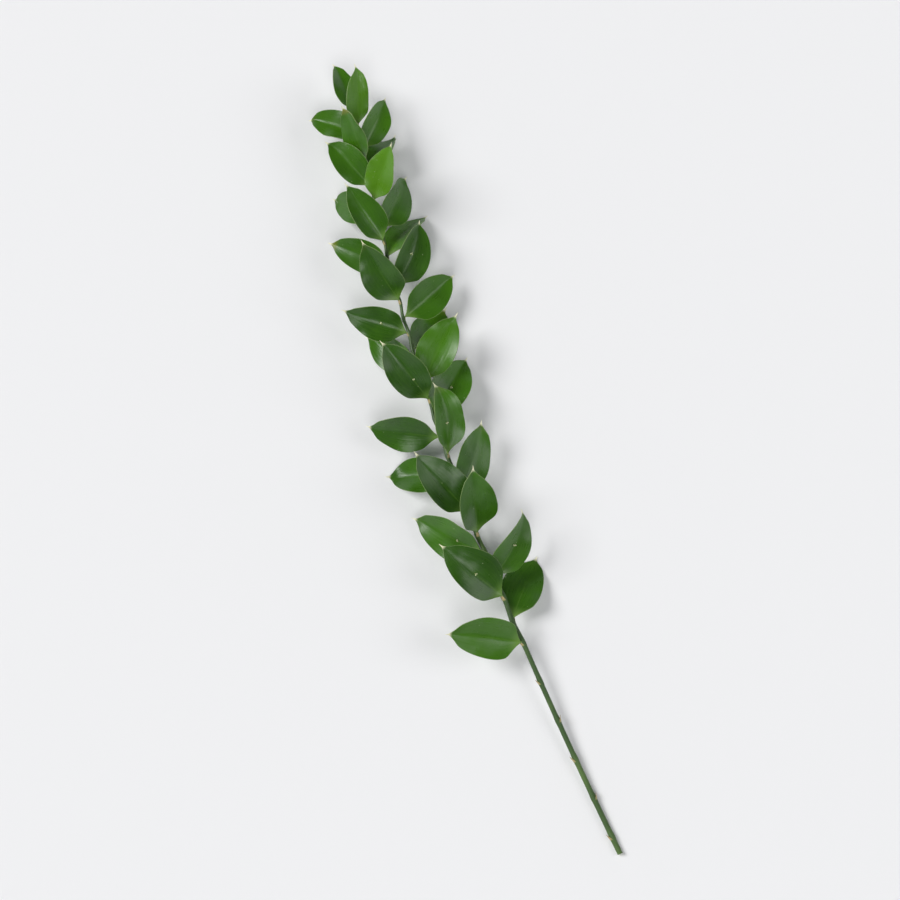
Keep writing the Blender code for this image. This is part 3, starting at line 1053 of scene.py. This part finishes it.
class LeafFinish(Finish):
    """The leaves' finish, with the measures that the tree left and the patterns made from them."""

    def __init__(self, name, **constants):
        super().__init__(name, **constants)
        self.across = self.attribute("across")
        self.share = self.attribute("share")
        self.tone = self.attribute("tone")
        self.blotches = self.noise(self.place(), *BLOTCHES)
        drifted = self.across + self.charted_noise(self.across, *DRIFT_PATTERN) * DRIFT
        self.streaks = self.charted_noise(drifted, *STREAK_PATTERN)
        self.folds = self.charted_noise(drifted, *FOLD_PATTERN)
        lines = self.math("PINGPONG", drifted * (MAIN_VEINS * 2), 1.0)
        self.veins = self.fade(lines, *VEIN_EDGE) * self.fade(self.share, *VEIN_REACH)

    def charted_noise(self, across, counts, size, detail=2.0):
        """Noise on the blade's own chart: drawn out lengthwise, and different on each leaf."""
        fields = (across, self.share, self.tone)
        chart = self.combine(*(field * count for field, count in zip(fields, counts)))
        return self.noise(chart, size, detail)


# %% Leaf faces and specks
DEPTH_RANGE = (0.1, 0.8)
DEPTH_BLOTCHES = 0.5
DEPTH_TONE = 0.7
YOUNG_TONES = (0.55, 1.1)
YOUNG_STRENGTH = 0.8
STREAK_EDGE = (0.5, 0.8)
STREAK_STRENGTH = 0.14
VEIN_STRENGTH = 0.06
BASE_REACH = (0.22, 0.04)
BASE_STRENGTH = 0.8
RIB_SPREAD = (0.05, 0.0)
RIB_REACH = (0.7, 0.15)
RIB_STRENGTH = 0.26
RAGGEDNESS = 0.6
SPECKS_PER_MM = 0.3
SPECK_SIZES = (0.03, 0.09)
SPECK_EDGE = (0.02, -0.01)
FEW_SPECKS = (0.78, 0.8)


def upper_colour(finish):
    """Deep green with lighter blotches, streaks and veins, and pale at the base and the rib."""
    rib = finish.fade(abs(finish.across), *RIB_SPREAD) * finish.fade(finish.share, *RIB_REACH)
    light = finish.fade(finish.blotches * DEPTH_BLOTCHES + finish.tone * DEPTH_TONE, *DEPTH_RANGE)
    young = finish.fade(finish.tone, *YOUNG_TONES) * YOUNG_STRENGTH
    veins = finish.veins * VEIN_STRENGTH
    lines = veins + finish.fade(finish.streaks, *STREAK_EDGE) * STREAK_STRENGTH
    base = finish.fade(finish.share, *BASE_REACH) * BASE_STRENGTH
    return finish.layered(
        DEEP_GREEN,
        (LEAF_GREEN, light),
        (YOUNG_GREEN, young),
        (YOUNG_GREEN, lines),
        (BASE_GREEN, base),
        (BASE_GREEN, rib * RIB_STRENGTH),
    )


def speck_mask(finish):
    """A few small ragged specks of several sizes."""
    ragged = finish.noise(finish.place(), RAGGEDNESS, 1).other("Color")
    ragged = finish.vector("ADD", finish.place(), finish.scaled(ragged, RAGGEDNESS))
    cells = {"Vector": ragged, "Scale": SPECKS_PER_MM, "Randomness": 1.0}
    specks = finish.node("ShaderNodeTexVoronoi", {}, cells)
    few = finish.node("ShaderNodeSeparateColor", {}, (specks.other("Color"),))
    edge = blend(*SPECK_SIZES, few.other("Green"))
    return finish.fade(specks - edge, *SPECK_EDGE) * finish.fade(few, *FEW_SPECKS)


# %% The whole finish of the leaves
LEAF_IOR = 1.45
UNDER_EDGE = (0.4, 0.8)
UNDER_STREAKS = 0.35
UNDER_VEINS = 0.3
SPECK_STRENGTH = 0.7
WORN_FROM = (0.9, 1.0)
WORN_BLOTCHES = 0.16
MARGIN_MM = (0.3, 0.05)
MARGIN_STRENGTH = 0.6
SPINE_FROM = (0.908, 0.955)
SMEARS = (9, 3)
TOP_ROUGHNESS = 0.17
SMEAR_ROUGHNESS = 0.16
STREAK_ROUGHNESS = 0.1
UNDER_ROUGHNESS = 0.6
FOLD_RELIEF = 0.00011
STREAK_RELIEF = 0.00006
LEAF_GRAIN = (0.8, 2)
GRAIN_RELIEF = 0.00001


def leaf_finish():
    finish = LeafFinish("leaf_green", IOR=LEAF_IOR)
    under = finish.attribute("under")
    pale = finish.fade(finish.streaks, *UNDER_EDGE) * UNDER_STREAKS
    pale = pale + finish.veins * UNDER_VEINS
    margin = finish.fade(finish.attribute("margin") * MM_PER_M, *MARGIN_MM)
    worn = finish.fade(finish.share + finish.blotches * WORN_BLOTCHES, *WORN_FROM)
    matt = TOP_ROUGHNESS + finish.noise(finish.place(), *SMEARS) * SMEAR_ROUGHNESS
    matt = matt + finish.streaks * STREAK_ROUGHNESS
    relief = finish.folds * FOLD_RELIEF + finish.streaks * STREAK_RELIEF
    finish.wear(
        Base_Color=finish.layered(
            upper_colour(finish),
            (finish.layered(UNDER_GREEN, (BASE_GREEN, pale)), under),
            (SPECK_PALE, speck_mask(finish) * (1 - under) * SPECK_STRENGTH),
            (WORN_YELLOW, finish.attribute("wear") * worn),
            (MARGIN_PALE, margin * MARGIN_STRENGTH),
            (SPINE_PALE, finish.fade(finish.share, *SPINE_FROM)),
        ),
        Roughness=blend(matt, UNDER_ROUGHNESS, under),
        Normal=finish.bumps(relief + finish.noise(finish.place(), *LEAF_GRAIN) * GRAIN_RELIEF),
    )
    return finish.material


# %% The numbers of every fine leaf
LEAF_ROWS = 65
LEAF_COLUMNS = 49
LEAF_THICKNESS = 0.0005
HOOK_REACH = 0.0022
HOOK_UP = (-0.3, 1)
HOOK_ASIDE = (-1, 1)
LOPSIDED = 0.22
TONE_SPREAD = 0.65
YOUNG_TONE = 0.45
WEAR_RARITY = 6
LOOK_SEED = 11
looks = random.Random(LOOK_SEED)


def leaf_sizes(number, leaf):
    """The tree's inputs for one leaf, with its own tone, and its point hooked its own way."""
    return {
        **leaf.sizes,
        "Rows": LEAF_ROWS,
        "Columns": LEAF_COLUMNS,
        "Thickness": LEAF_THICKNESS,
        "Hook Up": looks.uniform(*HOOK_UP) * HOOK_REACH,
        "Hook Aside": looks.uniform(*HOOK_ASIDE) * HOOK_REACH,
        "Lopsided": random.Random(number).uniform(-LOPSIDED, LOPSIDED),
        "Tone": TONE_SPREAD * looks.random() + YOUNG_TONE * leaf.rise**4,
        "Wear": looks.random() ** WEAR_RARITY,
    }


all_sizes = [leaf_sizes(number, leaf) for number, leaf in enumerate(leaves)]
print("each leaf has", len(all_sizes[0]), "numbers")


# %% Grow every leaf
def make_leaf(number, leaf):
    places, sideways, faces = zip(*leaf.frames)
    guide = guide_mesh(places, {"sideways": sideways, "face": faces})
    return grow(f"leaf_{number + 1:02d}", guide, blade_tree, all_sizes[number], blade_finish)


blade_tree = leaf_tree(all_sizes[0])
blade_finish = leaf_finish()
blades = [make_leaf(number, leaf) for number, leaf in enumerate(leaves)]
print("leaves:", sum(len(blade.data.polygons) for blade in blades), "faces")

# %% [markdown]
# ## Scale leaves
#
# Under each leaf, and alone on the bare lower stem, sits a small dry scale with a fine point. Its
# foot clasps the stem, which grows thinner upwards, so no two scales are quite alike. A tree sets a
# flat grid on each point of a guide. Made real, each copy still carries the numbers of its point:
# the stem's radius there, and the directions along the stem and outward. They bend it to its place.

# %% The tree that sets the scales
SCALE_SIZES = {
    "Length": 0.0065,
    "Clasp": math.radians(62),
    "Lift": 0.26,
    "Thickness": 0.00016,
    "Sink": 0.00006,
}
SCALE_ROWS = 21
SCALE_COLUMNS = 17
SCALE_TAPER = 1.15
SCALE_FLARE = 1.2


def scale_tree():
    graph = SheetGraph("scale_leaf", *SCALE_SIZES)
    grid, across, share = graph.pointed_grid(SCALE_COLUMNS, SCALE_ROWS)
    copies = {"Points": graph["Guide"], "Instance": grid}
    copies = graph.node("GeometryNodeInstanceOnPoints", {}, copies)
    sheets = graph.node("GeometryNodeRealizeInstances", {}, (copies,))

    radius = graph.named("radius")
    length = graph["Length"] * graph.named("size")
    reach = share * length
    width = (1 - share) ** SCALE_TAPER * graph["Clasp"]
    turn = width * across
    far = radius + share**SCALE_FLARE * graph["Lift"] * length - (1 - share) * graph["Sink"]
    along = graph.named_vector("along")
    outward = graph.named_vector("outward")
    beside = graph.vector("CROSS_PRODUCT", outward, along)
    place = graph.vector("ADD", graph.named_vector("place"), graph.scaled(along, reach))
    for direction, swing in ((outward, "COSINE"), (beside, "SINE")):
        step = graph.scaled(direction, far * graph.math(swing, turn))
        place = graph.vector("ADD", place, step)
    sheet = graph.moved(sheets, Position=place)

    depth = graph.rim_depth(radius * width, across, reach, length)
    graph.finish(graph.closed_sheet(sheet, depth, depth))
    return graph


# %% The finish of the scales
SCALE_STRAW = srgb(184, 168, 122)
SCALE_BROWN = srgb(120, 88, 50)
SCALE_GREEN = srgb(104, 124, 60)
SCALE_ROUGHNESS = (0.5, 0.7)
SCALE_BLOTCHES = (4, 3)
STRIPE_COUNT = 9
STRIPES = (0.8, 3)
STRIPE_EDGE = (0.42, 0.7)
STRIPE_STRENGTH = 0.7
STRIPE_RELIEF = 0.00006
BROWN_FROM = (0.8, 1.3)
BROWN_BLOTCHES = 0.4
GREEN_UNDER = (0.5, 0.15)
GREEN_BLOTCHES = 0.3
GREEN_STRENGTH = 0.8


def scale_finish():
    """Papery straw colour, brown towards the point and green at the foot, finely striped."""
    finish = Finish("scale_straw")
    share = finish.attribute("share")
    blotches = finish.noise(finish.place(), *SCALE_BLOTCHES)
    chart = finish.combine(finish.attribute("across") * STRIPE_COUNT, share, blotches)
    stripes = finish.noise(chart, *STRIPES)
    striped = finish.fade(stripes, *STRIPE_EDGE) * STRIPE_STRENGTH
    brown = finish.fade(share + blotches * BROWN_BLOTCHES, *BROWN_FROM)
    green = finish.fade(share + blotches * GREEN_BLOTCHES, *GREEN_UNDER) * GREEN_STRENGTH
    finish.wear(
        Base_Color=finish.layered(
            SCALE_STRAW, (SCALE_BROWN, striped), (SCALE_BROWN, brown), (SCALE_GREEN, green)
        ),
        Roughness=blend(*SCALE_ROUGHNESS, blotches),
        Normal=finish.bumps(stripes * STRIPE_RELIEF),
    )
    return finish.material


# %% Scales on the stem
SCALE_START = 0.0026
SCALE_SPREAD = (0.75, 1.0)
BARE_AZIMUTH = math.radians(70)


def scale_spot(node, azimuth):
    """Where a scale sits below a node, and how the stem runs there."""
    foot, ahead, up, beside = stem_frame(node - SCALE_START)
    return {
        "place": foot,
        "along": ahead,
        "outward": up * math.cos(azimuth) + beside * math.sin(azimuth),
        "radius": stem_radius(node - SCALE_START, nodes + bare_nodes),
        "size": looks.uniform(*SCALE_SPREAD),
    }


def make_scales():
    """A scale below each leaf, and one by turns on either side at each bare node."""
    places = [(node, leaf.azimuth) for node, leaf in zip(nodes, leaves)]
    places += [(node, leaf_side(number) * BARE_AZIMUTH) for number, node in enumerate(bare_nodes)]
    guide = spots_mesh([scale_spot(node, azimuth) for node, azimuth in places])
    return grow("scale_leaves", guide, scale_tree(), SCALE_SIZES, scale_finish())


scales = make_scales()
print("scale leaves:", len(scales.data.polygons), "faces")

# %% [markdown]
# ## Flower buds
#
# Ruscus flowers sit in the middle of what looks like a leaf: two or three tiny pale buds over a
# small green bract. From a step away they are pale dots. One tree sets the bracts, each a small
# cupped sheet, and another the egg-shaped buds, from a sphere that is drawn out to a point.

# %% The trees that set the bracts and the buds
BUD_SIZES = {"Radius": 0.00055, "Stretch": 1.45}
BRACT_SIZES = {
    "Length": 0.0034, "Half Width": 0.0008, "Thickness": 0.00016, "Lift": 0.0009, "Cup": 900.0
}
BRACT_ROWS = 13
BRACT_COLUMNS = 9
BRACT_FOOT = 0.15
BRACT_FOOT_POWER = 0.35
BRACT_TIP_POWER = 0.9
BRACT_FULLNESS = 1.4
BALL_SIDES = {"Segments": 14, "Rings": 10, "Radius": 1.0}
SLIM_START = 0.1
SLIM = 0.35


def bract_tree():
    graph = SheetGraph("bud_bract", *BRACT_SIZES)
    grid, across, share = graph.pointed_grid(BRACT_COLUMNS, BRACT_ROWS)
    half = graph["Half Width"] * (share + BRACT_FOOT) ** BRACT_FOOT_POWER
    half = half * (1 - share) ** BRACT_TIP_POWER * BRACT_FULLNESS
    reach = share * graph["Length"]
    aside = half * across
    outward = share * (graph["Lift"] + aside * aside * graph["Cup"])
    sheet = graph.moved(grid, Position=graph.combine(aside, outward, reach))
    depth = graph.rim_depth(half, across, reach, graph["Length"])
    graph.finish(graph.placed(graph.closed_sheet(sheet, depth, depth)))
    return graph


def bud_tree():
    graph = GeometryGraph("flower_bud", *BUD_SIZES)
    ball = graph.node("GeometryNodeMeshUVSphere", {}, BALL_SIDES)
    x, y, z = graph.separate(graph.position())
    slim = 1 - graph.fade(z, SLIM_START, 1.0) * SLIM
    place = graph.combine(x * slim, y * slim, z * graph["Stretch"])
    ball = graph.store(ball, "share", z * 0.5 + 0.5)
    ball = graph.moved(ball, Position=graph.scaled(place, graph["Radius"]))
    graph.finish(graph.placed(ball))
    return graph


# %% Where the clusters sit
BUDDING_SHARE = 0.42
CLUSTER_PLACE = (0.36, 0.5)
CLUSTER_SIZE = (0.8, 1.1)
BUD_COUNTS = (2, 3)
BUD_GAP = 1.7
BUD_STRAY = 0.2
BUD_AHEAD = (0.5, 2.2)
BUD_HEIGHT = 0.8
BUD_LEAN = (0.3, 1.1)
BUD_SPREAD = 0.3
BUD_SIZE = (0.7, 1.1)


def bud_spot(top, ahead, face, sideways, step):
    """One bud over a bract: each stands a little aside from the last, and leans its own way."""
    aside = (step - 1) * BUD_GAP + looks.uniform(-BUD_STRAY, BUD_STRAY)
    offset = sideways * aside + ahead * looks.uniform(*BUD_AHEAD) + face * BUD_HEIGHT
    along = face + ahead * looks.uniform(*BUD_LEAN) + sideways * aside * BUD_SPREAD
    return {
        "place": top + offset * BUD_SIZES["Radius"],
        "along": along.normalized(),
        "outward": ahead,
        "size": looks.uniform(*BUD_SIZE),
    }


def place_clusters():
    """On some leaves, two or three buds side by side in front of a bract."""
    bud_spots = []
    bract_spots = []
    for leaf in leaves:
        if looks.random() > BUDDING_SHARE:
            continue
        place, sideways, face = midrib_frame(leaf, looks.uniform(*CLUSTER_PLACE))
        ahead = sideways.cross(face)
        top = pressed(leaf, place) + face * (LEAF_THICKNESS / 2)
        foot = top - ahead * (BUD_SIZES["Radius"] * 2)
        spot = {"place": foot, "along": ahead, "outward": face, "size": looks.uniform(*CLUSTER_SIZE)}
        bract_spots.append(spot)
        for step in range(looks.choice(BUD_COUNTS)):
            bud_spots.append(bud_spot(top, ahead, face, sideways, step))
    return bud_spots, bract_spots


# %% Buds and bracts on the leaves
BUD_CREAM = srgb(222, 226, 184)
BUD_GREEN = srgb(140, 166, 84)
BRACT_PALE = srgb(148, 164, 98)
BRACT_GREEN = srgb(92, 128, 52)
BUD_ROUGHNESS = (0.4, 0.6)
BUD_MOTTLE = (0.5, 2)
BUD_TIP = (0.2, 0.8)
TIP_MOTTLE = 0.3


def bud_finish(name, pale, green):
    """Pale at the point, green towards the foot."""
    finish = Finish(name)
    mottle = finish.noise(finish.place(), *BUD_MOTTLE)
    tip = finish.fade(finish.attribute("share") + mottle * TIP_MOTTLE, *BUD_TIP)
    finish.wear(
        Base_Color=finish.layered(green, (pale, tip)),
        Roughness=blend(*BUD_ROUGHNESS, mottle),
    )
    return finish.material


bud_spots, bract_spots = place_clusters()
cream = bud_finish("bud_cream", BUD_CREAM, BUD_GREEN)
buds = grow("flower_buds", spots_mesh(bud_spots), bud_tree(), BUD_SIZES, cream)
green = bud_finish("bract_green", BRACT_PALE, BRACT_GREEN)
bracts = grow("bud_bracts", spots_mesh(bract_spots), bract_tree(), BRACT_SIZES, green)
print(len(bract_spots), "clusters with", len(bud_spots), "buds")

# %% [markdown]
# ## Floor and light
#
# A plain pale floor and soft light, as in a studio with pale walls and a dark ceiling. Three sun
# lamps stand in for large soft ones: each is as wide in the sky as such a lamp looks, and it lights
# the floor alike near and far. The main light comes from the picture's upper left. A soft one behind
# the camera's shoulder gives the rising leaves their grey shine, and leaves that are turned away
# from both keep their deep green.

# %% The floor
FLOOR_SIZE = 60.0
FLOOR_PALE = srgb(236, 236, 237)
FLOOR_ROUGHNESS = 0.7


def make_floor():
    mesh = bpy.data.meshes.new("floor")
    half = FLOOR_SIZE / 2
    corners = [(-half, -half, 0), (half, -half, 0), (half, half, 0), (-half, half, 0)]
    mesh.from_pydata(corners, [], [(0, 1, 2, 3)])
    floor = bpy.data.objects.new("floor", mesh)
    bpy.context.scene.collection.objects.link(floor)
    finish = Finish("floor_pale", Base_Color=FLOOR_PALE, Roughness=FLOOR_ROUGHNESS)
    mesh.materials.append(finish.material)


make_floor()

# %% The lights
# Each lamp has the direction that it shines from, its width in degrees and its strength.
LAMPS = {
    "main_light": ((1.5, 2.2, 2.6), 30, 2.4),
    "shine_light": ((-1.3, 0.4, 2.3), 26, 0.85),
    "fill_light": ((-0.8, -1.8, 1.6), 36, 0.7),
}
STUDIO_WHITE = srgb(240, 243, 248)
WALL_LIGHT = 0.98
CEILING_LIGHT = 0.1
CEILING_START = 0.42


def add_light(name, source, width, strength):
    """Soft light from the direction `source`, from a disc that looks `width` degrees wide."""
    data = bpy.data.lights.new(name, "SUN")
    data.angle = math.radians(width)
    data.energy = strength
    light = bpy.data.objects.new(name, data)
    light.rotation_euler = (-Vector(source)).to_track_quat("-Z", "Y").to_euler()
    bpy.context.scene.collection.objects.link(light)


def make_studio():
    """Light from all round: bright near the floor, and dim from above."""
    world = bpy.data.worlds.new("studio")
    world.use_nodes = True
    graph = Graph(world.node_tree)
    _, _, upward = graph.separate(graph.node("ShaderNodeTexCoord", output="Generated"))
    light = graph.fade(upward, 0.0, CEILING_START, WALL_LIGHT, CEILING_LIGHT)
    background = world.node_tree.nodes["Background"]
    graph.feed(background.inputs["Color"], STUDIO_WHITE)
    graph.feed(background.inputs["Strength"], light)
    bpy.context.scene.world = world


bpy.context.scene.view_settings.view_transform = "Standard"
make_studio()
for name, (source, width, strength) in LAMPS.items():
    add_light(name, source, width, strength)

# %% [markdown]
# ## The pieces on the stem's body
#
# Every piece rides on the one body of the stem and stands for the solid, which is
# hidden.

# %% Ride and replace
dressed = [(stem, "stem"), (scales, "scale"), (buds, "bud"), (bracts, "bud")]
dressed += [(blade, "leaf") for blade in blades]
for piece, slot in dressed:
    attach(piece, "root")
    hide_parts("leafy_stem")
